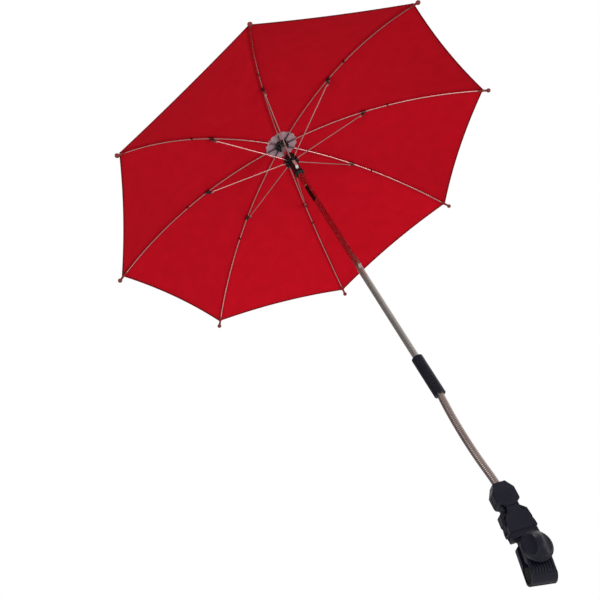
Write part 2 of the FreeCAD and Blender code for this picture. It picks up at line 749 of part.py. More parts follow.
def stretcher_shapes():
    """Stretcher, drawn level from the runner's pivot, and its rivet; both then swung up to the rib's pin."""
    eye = hinge_eye(shank_length + stretcher_radius)
    end = pivot_radius + linkage_reach
    bar_start = pivot_radius + shank_length
    bar = cylinder(stretcher_radius, linkage_reach - shank_length - fork_length, Vec(bar_start, 0, 0), RIGHT)
    inner = lug_thickness / 2 + free_gap / 2
    outer = inner + cheek_thickness
    bridge = block((end - fork_length - cheek_radius, end - fork_length + stretcher_radius), (-outer, outer),
                   (-cheek_radius, cheek_radius))
    body = joined(eye, bar, bridge)
    for low, high in ((-outer, -inner), (inner, outer)):
        flat = block((end - fork_length, end), (low, high), (-cheek_radius, cheek_radius))
        round_end = cylinder(cheek_radius, high - low, Vec(end, low, 0), BACK)
        body = joined(body, flat, round_end)
    rivet_hole = cylinder(pin_radius + seat_gap, 2 * outer, Vec(end, -outer, 0), BACK)
    body = body.cut(rivet_hole)
    rivet = cylinder(pin_radius, 2 * outer, Vec(end, -outer, 0), BACK)
    heads = [cylinder(rivet_head_radius, rivet_head_height, Vec(end, outer, 0), BACK),
             cylinder(rivet_head_radius, rivet_head_height, Vec(end, -outer, 0), BACK * -1)]
    rivet = joined(rivet, *heads)
    shapes = []
    for shape in (body, rivet):
        shape.rotate(Vec(pivot_radius, 0, 0), BACK, -math.degrees(linkage_angle))
        shape.translate(UP * runner_z)
        shapes.append(shape)
    return shapes


def cloth_height(radius):
    """Height of the cloth's underside over a rib at a radius."""
    return math.sqrt((rib_bend + cloth_lift) ** 2 - (radius - pivot_radius) ** 2) - rib_bend


def gore_half(side):
    """Half gore from a rib to the middle of a panel, its cross lines straight from rib to rib."""
    half_angle = math.pi / rib_count
    corner = tip_radius - hem_inset

    def edge(outer, turn, shift):
        points = []
        for k in range(cloth_stations):
            radius = cloth_hole + (outer - cloth_hole) * k / (cloth_stations - 1)
            reach = radius * math.cos(turn)
            place = Vec(reach * math.cos(turn), side * reach * math.sin(turn), cloth_height(radius))
            points.append(place + shift)
        curve = Part.BSplineCurve()
        curve.interpolate(points)
        return curve.toShape()

    parting = Vec(math.sin(half_angle), -side * math.cos(half_angle), 0) * cloth_gap
    face = Part.makeRuledSurface(edge(corner, 0, ORIGIN), edge(corner - hem_scoop, half_angle, parting))
    return face.extrude(UP * cloth_thickness)


def canopy_pieces():
    """Ribs with their clips, tips, stretchers with their rivets, and the gores of cloth."""
    rib, clip, tip = rib_shape(), rib_clip(), tip_shape()
    stretcher, rivet = stretcher_shapes()
    gore = joined(gore_half(1), gore_half(-1))
    for k in range(rib_count):
        save(f"rib_{k + 1}", hub_placed(rib, k), hub_placed(clip, k))
        save(f"rib_tip_{k + 1}", hub_placed(tip, k))
        save(f"stretcher_{k + 1}", hub_placed(stretcher, k), hub_placed(rivet, k))
        save(f"gore_{k + 1}", hub_placed(gore, k))


os.makedirs("parts", exist_ok=True)
clamp_pieces()
save("buckle_socket", buckle_placed(buckle_socket()))
save("buckle_plug", buckle_placed(buckle_plug()))
save("prong_left", buckle_placed(prong(-1)))
save("prong_right", buckle_placed(prong(1)))
neck_pieces()
mast_pieces()
hub_pieces()
canopy_pieces()
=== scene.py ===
"""Looks of the pram parasol, in metres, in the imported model's own frame: +Z up the mast, -Y to the front."""
import json
import math

import bpy
import numpy as np
from mathutils import Matrix, Vector


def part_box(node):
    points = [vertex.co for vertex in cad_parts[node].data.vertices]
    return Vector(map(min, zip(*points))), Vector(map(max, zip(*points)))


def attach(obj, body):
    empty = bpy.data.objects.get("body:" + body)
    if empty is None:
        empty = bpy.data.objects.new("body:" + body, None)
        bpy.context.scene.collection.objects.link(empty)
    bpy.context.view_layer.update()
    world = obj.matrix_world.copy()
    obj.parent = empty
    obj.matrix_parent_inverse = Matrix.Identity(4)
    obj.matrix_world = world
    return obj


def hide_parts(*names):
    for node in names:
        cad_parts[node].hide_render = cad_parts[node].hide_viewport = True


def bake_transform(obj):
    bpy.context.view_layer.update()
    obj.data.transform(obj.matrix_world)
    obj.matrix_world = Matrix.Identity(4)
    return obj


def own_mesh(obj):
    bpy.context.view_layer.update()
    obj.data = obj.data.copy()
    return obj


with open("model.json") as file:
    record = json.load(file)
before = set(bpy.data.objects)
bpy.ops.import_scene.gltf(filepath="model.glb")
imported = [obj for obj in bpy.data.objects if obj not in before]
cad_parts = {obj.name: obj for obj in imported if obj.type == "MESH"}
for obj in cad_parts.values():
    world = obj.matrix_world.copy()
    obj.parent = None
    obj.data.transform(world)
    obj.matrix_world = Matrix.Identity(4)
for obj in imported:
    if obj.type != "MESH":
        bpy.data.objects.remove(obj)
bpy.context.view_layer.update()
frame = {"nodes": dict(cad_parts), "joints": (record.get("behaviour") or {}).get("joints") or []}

# One millimetre, in the metres that everything here is given in.
MM = 0.001


def add(tree, kind, sockets=None, **settings):
    """Adds a shader node, sets its properties, and fills or links its inputs by name or number."""
    made = tree.nodes.new("ShaderNode" + kind)
    for key, value in settings.items():
        setattr(made, key, value)
    for key, value in (sockets or {}).items():
        if isinstance(value, bpy.types.NodeSocket):
            tree.links.new(value, made.inputs[key])
        else:
            made.inputs[key].default_value = value
    return made


def sums(tree, operation, first, second=0.0):
    """Output of one arithmetic step on two numbers or sockets."""
    return add(tree, "Math", {0: first, 1: second}, operation=operation).outputs[0]


def mapped(tree, value, low, high, to_low=0.0, to_high=1.0):
    """Output of a step that carries one span of values to another and is held at both ends."""
    return add(tree, "MapRange", {"Value": value, 1: low, 2: high, 3: to_low, 4: to_high}).outputs[0]


def mixed(tree, share, first, second):
    """Output of a mix of two colours, each one a triple or a socket."""
    ends = [end if isinstance(end, bpy.types.NodeSocket) else (*end, 1.0) for end in (first, second)]
    return add(tree, "Mix", {0: share, 6: ends[0], 7: ends[1]}, data_type="RGBA").outputs[2]


def bumped(tree, shader, height, strength, depth, rounded=None):
    """Lays a height on a shader as bump of a depth, over rounded edges where these are given."""
    sockets = {"Strength": strength, "Distance": depth, "Height": height}
    if rounded is not None:
        sockets["Normal"] = rounded
    bump = add(tree, "Bump", sockets)
    tree.links.new(bump.outputs["Normal"], shader.inputs["Normal"])


def shared_effect(name, inputs, outputs):
    """Empty node group with named sockets; gives its tree, the group's inputs and the group's outputs."""
    tree = bpy.data.node_groups.new(name, "ShaderNodeTree")
    for direction, sockets in (("INPUT", inputs), ("OUTPUT", outputs)):
        for socket, kind in sockets.items():
            tree.interface.new_socket(socket, in_out=direction, socket_type="NodeSocket" + kind)
    start = tree.nodes.new("NodeGroupInput")
    end = tree.nodes.new("NodeGroupOutput")
    return tree, start.outputs, end.inputs


def placed(tree, group, **sockets):
    """Outputs of a shared effect placed in a material, with its own values."""
    return add(tree, "Group", sockets, node_tree=group).outputs


def bare_finish(name, color, roughness, metallic=0.0):
    """New material: its node tree, its Principled shader and its Object coordinates."""
    material = bpy.data.materials.new(name)
    material.use_nodes = True
    tree = material.node_tree
    shader = tree.nodes["Principled BSDF"]
    shader.inputs["Base Color"].default_value = (*color, 1.0)
    shader.inputs["Roughness"].default_value = roughness
    shader.inputs["Metallic"].default_value = metallic
    return material, tree, shader, add(tree, "TexCoord").outputs


# Spans of the noise that drives gloss, and of the turn between true and rounded faces that counts as an edge.
noise_low = 0.3
noise_high = 0.7
edge_starts = 0.995
edge_is_full = 0.86
gloss_drift = 0.07
moulded_reflection = 0.27
bevel_samples = 4

# Mould grain: fine pits from the mould's skin, and a slow mottle from how the plastic flowed.
mould_grain, grain_in, grain_out = shared_effect(
    "mould_grain", {"Vector": "Vector", "Grain": "Float"}, {"Height": "Float", "Mottle": "Float"})
pits = add(mould_grain, "TexNoise", {"Vector": grain_in["Vector"], "Scale": grain_in["Grain"], "Detail": 3.0})
flow = add(mould_grain, "TexNoise", {"Vector": grain_in["Vector"], "Scale": 70.0, "Detail": 4.0})
mould_grain.links.new(pits.outputs["Fac"], grain_out["Height"])
mould_grain.links.new(flow.outputs["Fac"], grain_out["Mottle"])


def moulded(name, color, roughness, grain, depth, edge, rub):
    """Moulded plastic or rubber: grain as bump, mottled gloss, edges rounded by a radius and rubbed paler."""
    material, tree, shader, place = bare_finish(name, color, roughness)
    skin = placed(tree, mould_grain, Vector=place["Object"], Grain=grain)
    rounded = add(tree, "Bevel", {"Radius": edge}, samples=bevel_samples).outputs["Normal"]
    bumped(tree, shader, skin["Height"], 0.5, depth, rounded)
    gloss = mapped(tree, skin["Mottle"], noise_low, noise_high,
                   roughness - gloss_drift, roughness + gloss_drift)
    tree.links.new(gloss, shader.inputs["Roughness"])
    shader.inputs["Specular IOR Level"].default_value = moulded_reflection
    true_normal = add(tree, "NewGeometry").outputs["Normal"]
    facing = add(tree, "VectorMath", {0: rounded, 1: true_normal}, operation="DOT_PRODUCT").outputs["Value"]
    edges = mapped(tree, facing, edge_starts, edge_is_full)
    worn = sums(tree, "MULTIPLY", edges, skin["Mottle"])
    paler = [min(1.0, channel * rub + 0.004) for channel in color]
    tree.links.new(mixed(tree, worn, color, paler), shader.inputs["Base Color"])
    return material


def dress(material, *names):
    """Gives CAD pieces their finish."""
    for name in names:
        slots = frame["nodes"][name].material_slots
        for slot in slots:
            slot.material = material
        if not slots:
            frame["nodes"][name].data.materials.append(material)


# Clamp jaws, knob and buckle: injection-moulded black nylon, taken from a spark-eroded mould, so the faces
# have a fine grain and the edges are softly rounded. Hands rub the corners a little paler.
black_plastic = moulded("black_plastic", (0.0062, 0.0060, 0.0140), 0.34, 2600.0, 0.05 * MM, 0.6 * MM, 2.6)
dress(black_plastic, "back_jaw", "front_jaw", "knob")
dress(black_plastic, "buckle_socket", "buckle_plug", "prong_left", "prong_right")

# Jaw pads: two curved strips of soft black rubber bonded into the jaws, to grip the tube without scratching
# it. Rubber is duller than the nylon round it.
pad_rubber = moulded("pad_rubber", (0.020, 0.020, 0.020), 0.78, 3800.0, 0.08 * MM, 0.3 * MM, 1.8)
dress(pad_rubber, "back_pad", "front_pad")

# Drawn metal: fine streaks along one axis, left by the die, the lathe or the rolls.
drawn_metal, drawn_in, drawn_out = shared_effect(
    "drawn_metal", {"Vector": "Vector", "Stretch": "Vector"}, {"Streak": "Float", "Cloud": "Float"})
stretched = add(drawn_metal, "VectorMath", {0: drawn_in["Vector"], 1: drawn_in["Stretch"]},
                operation="MULTIPLY")
streaks = add(drawn_metal, "TexNoise", {"Vector": stretched.outputs[0], "Scale": 1.0, "Detail": 3.0})
clouds = add(drawn_metal, "TexNoise", {"Vector": drawn_in["Vector"], "Scale": 45.0, "Detail": 3.0})
drawn_metal.links.new(streaks.outputs["Fac"], drawn_out["Streak"])
drawn_metal.links.new(clouds.outputs["Fac"], drawn_out["Cloud"])


def plated(name, color, dull, roughness, stretch, scratch=0.01 * MM, edge=0.15 * MM):
    """Plated or turned metal: streaks as bump and gloss, and a slow drift between bright and dull plating."""
    material, tree, shader, place = bare_finish(name, color, roughness, 1.0)
    skin = placed(tree, drawn_metal, Vector=place["Object"], Stretch=stretch)
    rounded = add(tree, "Bevel", {"Radius": edge}, samples=bevel_samples).outputs["Normal"]
    bumped(tree, shader, skin["Streak"], 0.35, scratch, rounded)
    gloss = mapped(tree, skin["Streak"], noise_low, noise_high, roughness * 0.75, roughness * 1.3)
    tree.links.new(gloss, shader.inputs["Roughness"])
    drift = mapped(tree, skin["Cloud"], 0.35, noise_high)
    tint = mixed(tree, drift, color, dull)
    tree.links.new(tint, shader.inputs["Base Color"])
    return material, tree, shader, tint, place


# Clamp bolt and the knob's insert: a zinc-plated steel hexagon bolt, and a turned brass bush that is pressed
# into the knob and runs on the bolt.
across_turned = (300.0, 6000.0, 300.0)
dress(plated("bolt_zinc", (0.66, 0.65, 0.62), (0.58, 0.57, 0.50), 0.30, across_turned)[0], "clamp_bolt")
dress(plated("insert_brass", (0.78, 0.58, 0.27), (0.66, 0.46, 0.20), 0.26, across_turned)[0], "knob_insert")

# Neck: a gooseneck of flat steel strip wound into a close coil over a soft core, plated. It is one hose from
# the plug's head to the sleeve, drawn in four stretches, each across one bend between two of the neck's
# bodies.
# It stays as it was left, with a slight bow between its two ends.
joint = {j["name"]: j for j in frame["joints"]}
neck_pivots = [np.array(joint[f"neck_bend_{k}"]["pos_m"]) for k in range(1, 5)]
clamp_up = np.array(joint["buckle_release"]["axis"])
mast_up = np.array([0.0, 0.0, 1.0])
coil_pitch = 2.6 * MM
coil_crest = 5.2 * MM
coil_root = 5.04 * MM
crest_power = 0.7
rows_per_turn = 12
neck_around = 48
stub_length = 11.0 * MM
neck_sink = 3.0 * MM
neck_turn = math.acos(clamp_up @ mast_up)
neck_bend = stub_length / math.tan(neck_turn / 2)
arc_length = neck_bend * neck_turn
neck_length = arc_length - stub_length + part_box("connector_sleeve")[0].z - neck_pivots[0][2]
neck_bow = 3.4 * MM
bow_side = np.array([-0.912, 0.410, 0.0])


def grid_piece(name, grid, around=False):
    """Smooth piece of quads through a grid of points; around joins the last column to the first one."""
    rows, columns = grid.shape[:2]
    index = np.arange(rows * columns).reshape(rows, columns)
    if around:
        index = np.concatenate([index, index[:, :1]], axis=1)
    corners = [index[:-1, :-1], index[:-1, 1:], index[1:, 1:], index[1:, :-1]]
    quads = np.stack(corners, axis=-1).reshape(-1, 4)
    mesh = bpy.data.meshes.new(name)
    mesh.from_pydata(grid.reshape(-1, 3).tolist(), [], quads.tolist())
    mesh.shade_smooth()
    piece = bpy.data.objects.new(name, mesh)
    bpy.context.scene.collection.objects.link(piece)
    return piece


def mark(piece, name, values):
    """Keeps one number for each point of a piece, for its material to read."""
    attribute = piece.data.attributes.new(name, "FLOAT", "POINT")
    attribute.data.foreach_set("value", np.ascontiguousarray(values, np.float32).ravel())


def neck_line(along):
    """Middle line of the neck at distances from the plug's head: an arc that turns from the clamp's axis to
    the mast's, tangent to both, then straight, with a parabola added for the bow; before the head it runs
    straight into the plug's seat."""
    side = np.cross(np.cross(clamp_up, mast_up), clamp_up)
    side /= np.linalg.norm(side)
    start = neck_pivots[0] - clamp_up * stub_length
    angle = np.clip(along / neck_bend, 0.0, neck_turn)
    before = np.minimum(along, 0.0)
    after = np.maximum(along - arc_length, 0.0)
    share = np.clip(along / neck_length, 0.0, 1.0)
    middle = (start + np.outer(neck_bend * np.sin(angle) + before, clamp_up)
              + np.outer(neck_bend * (1 - np.cos(angle)), side) + np.outer(after, mast_up)
              + np.outer(4 * neck_bow * share * (1 - share), bow_side))
    normal = np.outer(np.cos(angle), side) - np.outer(np.sin(angle), clamp_up)
    return middle, normal


def coil_wall(low, high):
    """Wall of the coil between two distances: a round tube whose radius follows a flat-topped wave of the
    distance along it less the share of a turn round it, which makes one unbroken helix."""
    rows = max(2, round((high - low) / coil_pitch * rows_per_turn))
    along = np.linspace(low, high, rows)
    middle, normal = neck_line(along)
    turn = np.linspace(0.0, 2 * math.pi, neck_around, endpoint=False)
    wave = np.sin(math.pi * ((along[:, None] / coil_pitch - turn / (2 * math.pi)) % 1.0)) ** crest_power
    radius = coil_root + (coil_crest - coil_root) * wave
    tangent = np.gradient(middle, axis=0)
    tangent /= np.linalg.norm(tangent, axis=1)[:, None]
    binormal = np.cross(normal, tangent)
    binormal /= np.linalg.norm(binormal, axis=1)[:, None]
    normal = np.cross(tangent, binormal)
    spoke = normal[:, None] * np.cos(turn)[:, None] + binormal[:, None] * np.sin(turn)[:, None]
    return middle[:, None] + spoke * radius[..., None], wave


coil_chrome, coil_tree, coil_shader, coil_tint, _ = plated(
    "coil_chrome", (0.56, 0.445, 0.415), (0.475, 0.375, 0.345), 0.18, (900.0, 900.0, 900.0))
# The coil's grooves are painted darker, towards near black: painted shade in the grooves.
coil_depth = add(coil_tree, "Attribute", attribute_name="crest").outputs["Fac"]
groove_painted_shade = (0.03, 0.025, 0.022)
groove_shade = 0.45
coil_shade = mapped(coil_tree, coil_depth, 0.15, 0.75, groove_shade, 1.0)
coil_tree.links.new(mixed(coil_tree, coil_shade, groove_painted_shade, coil_tint), coil_shader.inputs["Base Color"])

half_link = (neck_pivots[1][2] - neck_pivots[0][2]) / 2
pivot_along = [arc_length - stub_length + pivot[2] - neck_pivots[0][2] for pivot in neck_pivots]
neck_cuts = [-neck_sink] + [place + half_link for place in pivot_along[:3]] + [neck_length + neck_sink]
neck_nodes = [("neck_lower",), ("neck_link_1",), ("neck_link_2",), ("neck_link_3", "neck_upper")]
for k, pivot in enumerate(neck_pivots):
    wall, crest = coil_wall(neck_cuts[k], neck_cuts[k + 1])
    hose = grid_piece(f"neck_coil_{k + 1}", wall, around=True)
    mark(hose, "crest", crest)
    hose.data.materials.append(coil_chrome)
    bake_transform(hose)
    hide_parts(*neck_nodes[k])

# Connector sleeve: a satin black moulded tube with rounded ends, glued on the coil. The mast slides into its
# top and is held by the snap button, so its mouth is polished by use.
sleeve_black = moulded("sleeve_black", (0.0060, 0.0056, 0.0125), 0.34, 1900.0, 0.03 * MM, 0.8 * MM, 2.2)
dress(sleeve_black, "connector_sleeve")

# Mast: a thin-walled steel tube, drawn, polished and bright plated, with the bottom catch plated along with
# it. The runner and the sleeve leave fine scratches along it.
along_mast = (4200.0, 4200.0, 18.0)
mast_chrome = plated("mast_chrome", (0.62, 0.575, 0.545), (0.55, 0.50, 0.47), 0.16, along_mast, 0.006 * MM)[0]
dress(mast_chrome, "mast_tube", "bottom_catch")

# Snap button and top catch: stamped and folded spring steel, tumbled to a pale satin. The leaf behind the
# mast's slot is the same strip, coloured near black.
spring_steel = plated("spring_steel", (0.82, 0.80, 0.78), (0.74, 0.72, 0.69), 0.58, (700.0, 700.0, 3000.0))[0]
dress(spring_steel, "snap_button", "top_catch")
dark_steel = plated("dark_steel", (0.035, 0.033, 0.034), (0.06, 0.05, 0.048), 0.38, (700.0, 700.0, 3000.0))[0]
dress(dark_steel, "slot_leaf")

# Notch and runner: black nylon mouldings with eight slots each. A soft steel wire ring lies in a groove of
# each one and carries the eyes of the ribs and of the stretchers.
hub_plastic = moulded("hub_plastic", (0.009, 0.0075, 0.008), 0.30, 2200.0, 0.03 * MM, 0.35 * MM, 2.4)
dress(hub_plastic, "top_notch", "runner")
hinge_wire = plated("hinge_wire", (0.56, 0.54, 0.52), (0.45, 0.43, 0.40), 0.30, (1500.0, 1500.0, 1500.0))[0]
dress(hinge_wire, "notch_wire", "runner_wire")

# Ribs and stretchers: hard-drawn steel wire, nickel plated, flattened to an eye at the hub. A blackened clip
# is crimped on each rib, and the stretcher's forked end is riveted to it. By the notch, the ribs' inner ends
# are painted in the same near black, as painted shade.
notch = np.array(joint["rib_1_fold"]["pos_m"])
hub = np.array([neck_pivots[0][0], 0.0, notch[2]])
clip_inner = 143.4 * MM
clip_outer = 152.8 * MM
hub_shade_reach = 26.5 * MM
hub_shade_drop = 12.0 * MM
oxide_and_shade_black = (0.10, 0.070, 0.072)
# The plating's colour is tinted pink: a painted reflection of the red cover above it.
rib_nickel, rib_tree, rib_shader, rib_tint, rib_place = plated(
    "rib_nickel", (0.60, 0.33, 0.32), (0.52, 0.28, 0.27), 0.22, (900.0, 900.0, 900.0))
from_axis = add(rib_tree, "VectorMath", {0: rib_place["Object"], 1: Vector(hub)},
                operation="SUBTRACT").outputs[0]
level = add(rib_tree, "VectorMath", {0: from_axis, 1: (1.0, 1.0, 0.0)}, operation="MULTIPLY").outputs[0]
out_from_mast = add(rib_tree, "VectorMath", {0: level}, operation="LENGTH").outputs["Value"]
past_clip = sums(rib_tree, "GREATER_THAN", out_from_mast, clip_inner)
before_clip = sums(rib_tree, "LESS_THAN", out_from_mast, clip_outer)
above_notch = add(rib_tree, "SeparateXYZ", {0: from_axis}).outputs["Z"]
by_notch = sums(rib_tree, "GREATER_THAN", above_notch, -hub_shade_drop)
# Near the notch the ribs' inner ends are painted near black: painted shade by the hub.
hub_painted_shade = sums(rib_tree, "MULTIPLY", sums(rib_tree, "LESS_THAN", out_from_mast, hub_shade_reach), by_notch)
clip_oxide_and_hub_shade = sums(rib_tree, "MAXIMUM", sums(rib_tree, "MULTIPLY", past_clip, before_clip), hub_painted_shade)
rib_tree.links.new(mixed(rib_tree, clip_oxide_and_hub_shade, rib_tint, oxide_and_shade_black), rib_shader.inputs["Base Color"])
ribs = range(1, 9)
dress(rib_nickel, *[f"{kind}_{k}" for kind in ("rib", "stretcher") for k in ribs])

# Rib tips: small balls on ferrules, moulded in brownish red acetal and pushed on the ribs' ends.
tip_plastic = moulded("tip_plastic", (0.165, 0.020, 0.018), 0.27, 1800.0, 0.02 * MM, 0.3 * MM, 1.5)
dress(tip_plastic, *[f"rib_tip_{k}" for k in ribs])

# Cover: fine plain-weave polyester, cut in eight gores that are sewn together and stretched over the ribs.
# Each piece here is centred on a rib, from the middle of one panel to the middle of the next, and laid out in
# tiers from the crown to the hem. These are one smooth sheet when it is open; the tiers are cut where the
# share of its width that the cover keeps when folded falls by even steps, and each piece goes with its rib.
pivot_radius = float(np.linalg.norm(notch - hub))
tip_radius = 340.0 * MM
tip_drop = 102.0 * MM
rib_bend = ((tip_radius - pivot_radius) ** 2 + tip_drop ** 2) / (2 * tip_drop)
fold_angle = math.radians(joint["rib_1_fold"]["range_deg"][1])
half_gore = math.pi / len(ribs)
cloth_lift = 2.85 * MM
cloth_thickness = 0.35 * MM
hem_scoop = 5.5 * MM
seam_width = 3.0 * MM
seam_limit = 0.95
seam_columns = 3
panel_columns = 12
seam_rise = 0.3 * MM
row_step = 5.0 * MM
tier_count = 12
crown_hole = 9.0 * MM
hem_radius = 334.5 * MM


def rib_frame(k):
    """The directions out along one rib, across it and up."""
    across = np.array(joint[f"rib_{k}_fold"]["axis"])
    return np.stack([np.cross(across, mast_up), across, mast_up])


def half_panel(radius):
    """Distance across from a rib to the middle of the panel, on the cross line that leaves it at a radius."""
    return radius * math.sin(half_gore) * math.cos(half_gore)


def cover_height(radius):
    """Height of the cover over the hub: an arc about the rib's own centre of bend, lifted off the rib."""
    return np.sqrt((rib_bend + cloth_lift) ** 2 - (radius - pivot_radius) ** 2) - rib_bend


def cover_point(radius, side):
    """Point of the cover in the rib's frame: the cross line that leaves the rib at a radius runs straight to
    the middle of the panel, where it has come in by the sine squared of half a gore. The seam stands up."""
    share = np.abs(side) / half_panel(radius)
    seam = seam_rise * np.clip(1.5 - 1.5 * np.abs(side) / seam_width, 0.0, 1.0)
    out = radius * (1 - share * math.sin(half_gore) ** 2)
    return np.stack([out, side, cover_height(radius) + seam], axis=-1)


def hem_at(share):
    """Radius of the hem at a share of the half panel: a parabola that is scooped most in the middle."""
    return hem_radius - hem_scoop * (1 - (1 - share) ** 2)


def closed_width(radius):
    """Share of its width that the cover keeps at a radius when the ribs are folded down beside the mast: the
    half panel there over the half panel when open."""
    out = radius * math.cos(half_gore) ** 2 - pivot_radius
    folded = pivot_radius + out * math.cos(fold_angle) + cover_height(radius) * math.sin(fold_angle)
    return np.minimum(1.0, folded * math.tan(half_gore) / half_panel(radius))


def tier_grid(low, high, last):
    """Points of one tier in the rib's frame, and its distances along and across, from its upper to its lower
    edge. A few narrow columns follow the seam and even ones go on to the middle of the panel, on both sides
    of the rib; the last tier ends on the scooped hem."""
    rows = max(3, round((high - low) / row_step) + 1)
    rise = np.linspace(0.0, 1.0, rows)[:, None]
    column = np.arange(-seam_columns - panel_columns, seam_columns + panel_columns + 1)[None]
    within = np.minimum(np.abs(column) / seam_columns, 1.0)
    beyond = np.maximum(np.abs(column) - seam_columns, 0) / panel_columns
    seam_share = min(seam_width / half_panel(high), seam_limit)
    share = seam_share * within + (1 - seam_share) * beyond
    end = hem_at(share) if last else np.full_like(share, high)
    radius = low + (end - low) * rise
    edge = half_panel(radius)
    seam_share = np.minimum(seam_width / edge, seam_limit)
    across = np.sign(column) * edge * (seam_share * within + (1 - seam_share) * beyond)
    return cover_point(radius, across), radius, across


def gore_uv(piece, radius, across):
    """Lays the weave on a piece in metres: across the gore and along its rib."""
    layer = piece.data.uv_layers.new(name="weave")
    corner = np.zeros(len(piece.data.loops), np.int32)
    piece.data.loops.foreach_get("vertex_index", corner)
    flat = np.stack([across.ravel() / math.cos(half_gore), radius.ravel()], axis=-1)[corner]
    layer.data.foreach_set("uv", flat.astype(np.float32).ravel())


# Plain weave: warp and weft pass over each other in turn, so each small square shows one rounded thread.
plain_weave, weave_in, weave_out = shared_effect(
    "plain_weave", {"Vector": "Vector", "Threads": "Float"}, {"Height": "Float", "Slub": "Float"})
threads = add(plain_weave, "VectorMath", {0: weave_in["Vector"], "Scale": weave_in["Threads"]},
              operation="SCALE")
counted = add(plain_weave, "SeparateXYZ", {0: threads.outputs[0]}).outputs
crowns = []
for direction in ("X", "Y"):
    turned = sums(plain_weave, "MULTIPLY", counted[direction], math.pi)
    crowns.append(sums(plain_weave, "ABSOLUTE", sums(plain_weave, "SINE", turned)))
squares = [sums(plain_weave, "FLOOR", counted[direction]) for direction in ("X", "Y")]
parity = sums(plain_weave, "PINGPONG", sums(plain_weave, "ADD", *squares), 1.0)
over = add(plain_weave, "Mix", {0: parity, 2: crowns[0], 3: crowns[1]})
slub = add(plain_weave, "TexNoise", {"Vector": weave_in["Vector"], "Scale": 38.0, "Detail": 4.0})
plain_weave.links.new(over.outputs[0], weave_out["Height"])
plain_weave.links.new(slub.outputs["Fac"], weave_out["Slub"])

# Stitch row: a dash for each stitch at a set distance across, with a gap between stitches.
stitch_half_width = 0.28 * MM
stitch_length = 2.6 * MM
stitch_share = 0.74
stitch_row, stitch_in, stitch_out = shared_effect(
    "stitch_row", {"Across": "Float", "Along": "Float", "Row": "Float"}, {"Thread": "Float"})
off_row = sums(stitch_row, "ABSOLUTE", sums(stitch_row, "SUBTRACT", stitch_in["Across"], stitch_in["Row"]))
on_row = sums(stitch_row, "LESS_THAN", off_row, stitch_half_width)
stitch_step = sums(stitch_row, "FRACT", sums(stitch_row, "DIVIDE", stitch_in["Along"], stitch_length))
on_stitch = sums(stitch_row, "LESS_THAN", stitch_step, stitch_share)
stitch_row.links.new(sums(stitch_row, "MULTIPLY", on_row, on_stitch), stitch_out["Thread"])

cloth_red = (0.475, 0.0028, 0.0118)
cloth_deep = (0.415, 0.0022, 0.0092)
thread_red = (0.29, 0.0040, 0.0095)
fold_painted_shade = (0.15, 0.0018, 0.0050)
cover_threads = 2600.0
stitch_lift = 3.0
weave_depth = 0.06 * MM
cloth_reflection = 0.06


def woven_finish(name, row, along, across, fold=-1.0):
    """Red cloth with its weave, a slow drift of tone, one row of stitches on each side of a line, and an
    edge of a width, where it is folded in three layers, that is painted darker as painted shade."""
    material, tree, shader, place = bare_finish(name, cloth_red, 0.88)
    weave = placed(tree, plain_weave, Vector=place["UV"], Threads=cover_threads)
    metres = add(tree, "SeparateXYZ", {0: place["UV"]}).outputs
    distance = sums(tree, "ABSOLUTE", metres[across])
    thread = placed(tree, stitch_row, Across=distance, Along=metres[along], Row=row)["Thread"]
    drift = mapped(tree, weave["Slub"], noise_low, 0.75)
    shade = mixed(tree, drift, cloth_red, cloth_deep)
    sewn = mixed(tree, thread, shade, thread_red)
    # Within the fold width from the edge the cloth is painted dark red: painted shade along the hem's fold.
    folded = sums(tree, "LESS_THAN", distance, fold)
    tree.links.new(mixed(tree, folded, sewn, fold_painted_shade), shader.inputs["Base Color"])
    height = sums(tree, "ADD", weave["Height"], sums(tree, "MULTIPLY", thread, stitch_lift))
    bumped(tree, shader, height, 0.35, weave_depth)
    shader.inputs["Specular IOR Level"].default_value = cloth_reflection
    return material


def thicken(piece, thickness, rim=True):
    """Gives a sheet its thickness, half to each side; without a rim, sheets that meet show no line."""
    body = piece.modifiers.new("thickness", "SOLIDIFY")
    body.thickness = thickness
    body.offset = 0.0
    body.use_rim = rim


def bend_at(radius):
    """Angle along the rib's bend at which it is at a radius."""
    return math.asin((radius - pivot_radius) / rib_bend)


cover_cloth = woven_finish("canopy_cloth", 2.2 * MM, "Y", "X")
radii = np.linspace(crown_hole, hem_radius, 400)
gathering = -np.log(closed_width(radii))
tier_edges = np.interp(np.linspace(0.0, gathering[-1], tier_count + 1), gathering, radii)
tier_edges[0] = crown_hole
for k in ribs:
    directions = rib_frame(k)
    for n, (low, high) in enumerate(zip(tier_edges, tier_edges[1:]), start=1):
        points, radius, across = tier_grid(low, high, n == tier_count)
        tier = grid_piece(f"cover_{k}_tier_{n}", points @ directions + hub)
        gore_uv(tier, radius, across)
        tier.data.materials.append(cover_cloth)
        thicken(tier, cloth_thickness, rim=False)
        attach(tier, f"rib_{k}")
        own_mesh(tier)
        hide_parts(f"gore_{k}")

# Hem: the cloth's edge turned over twice and sewn down, so it is a thin, slightly stiff band round the cover.
hem_width = 6.0 * MM
hem_thickness = 0.9 * MM
hem_around = 16
hem_columns = 61
hem_roundness = 0.5
# The hem's outer edge is painted darker: painted shade along its fold.
hem_cloth = woven_finish("hem_cloth", 4.6 * MM, "X", "Y", fold=2.3 * MM)


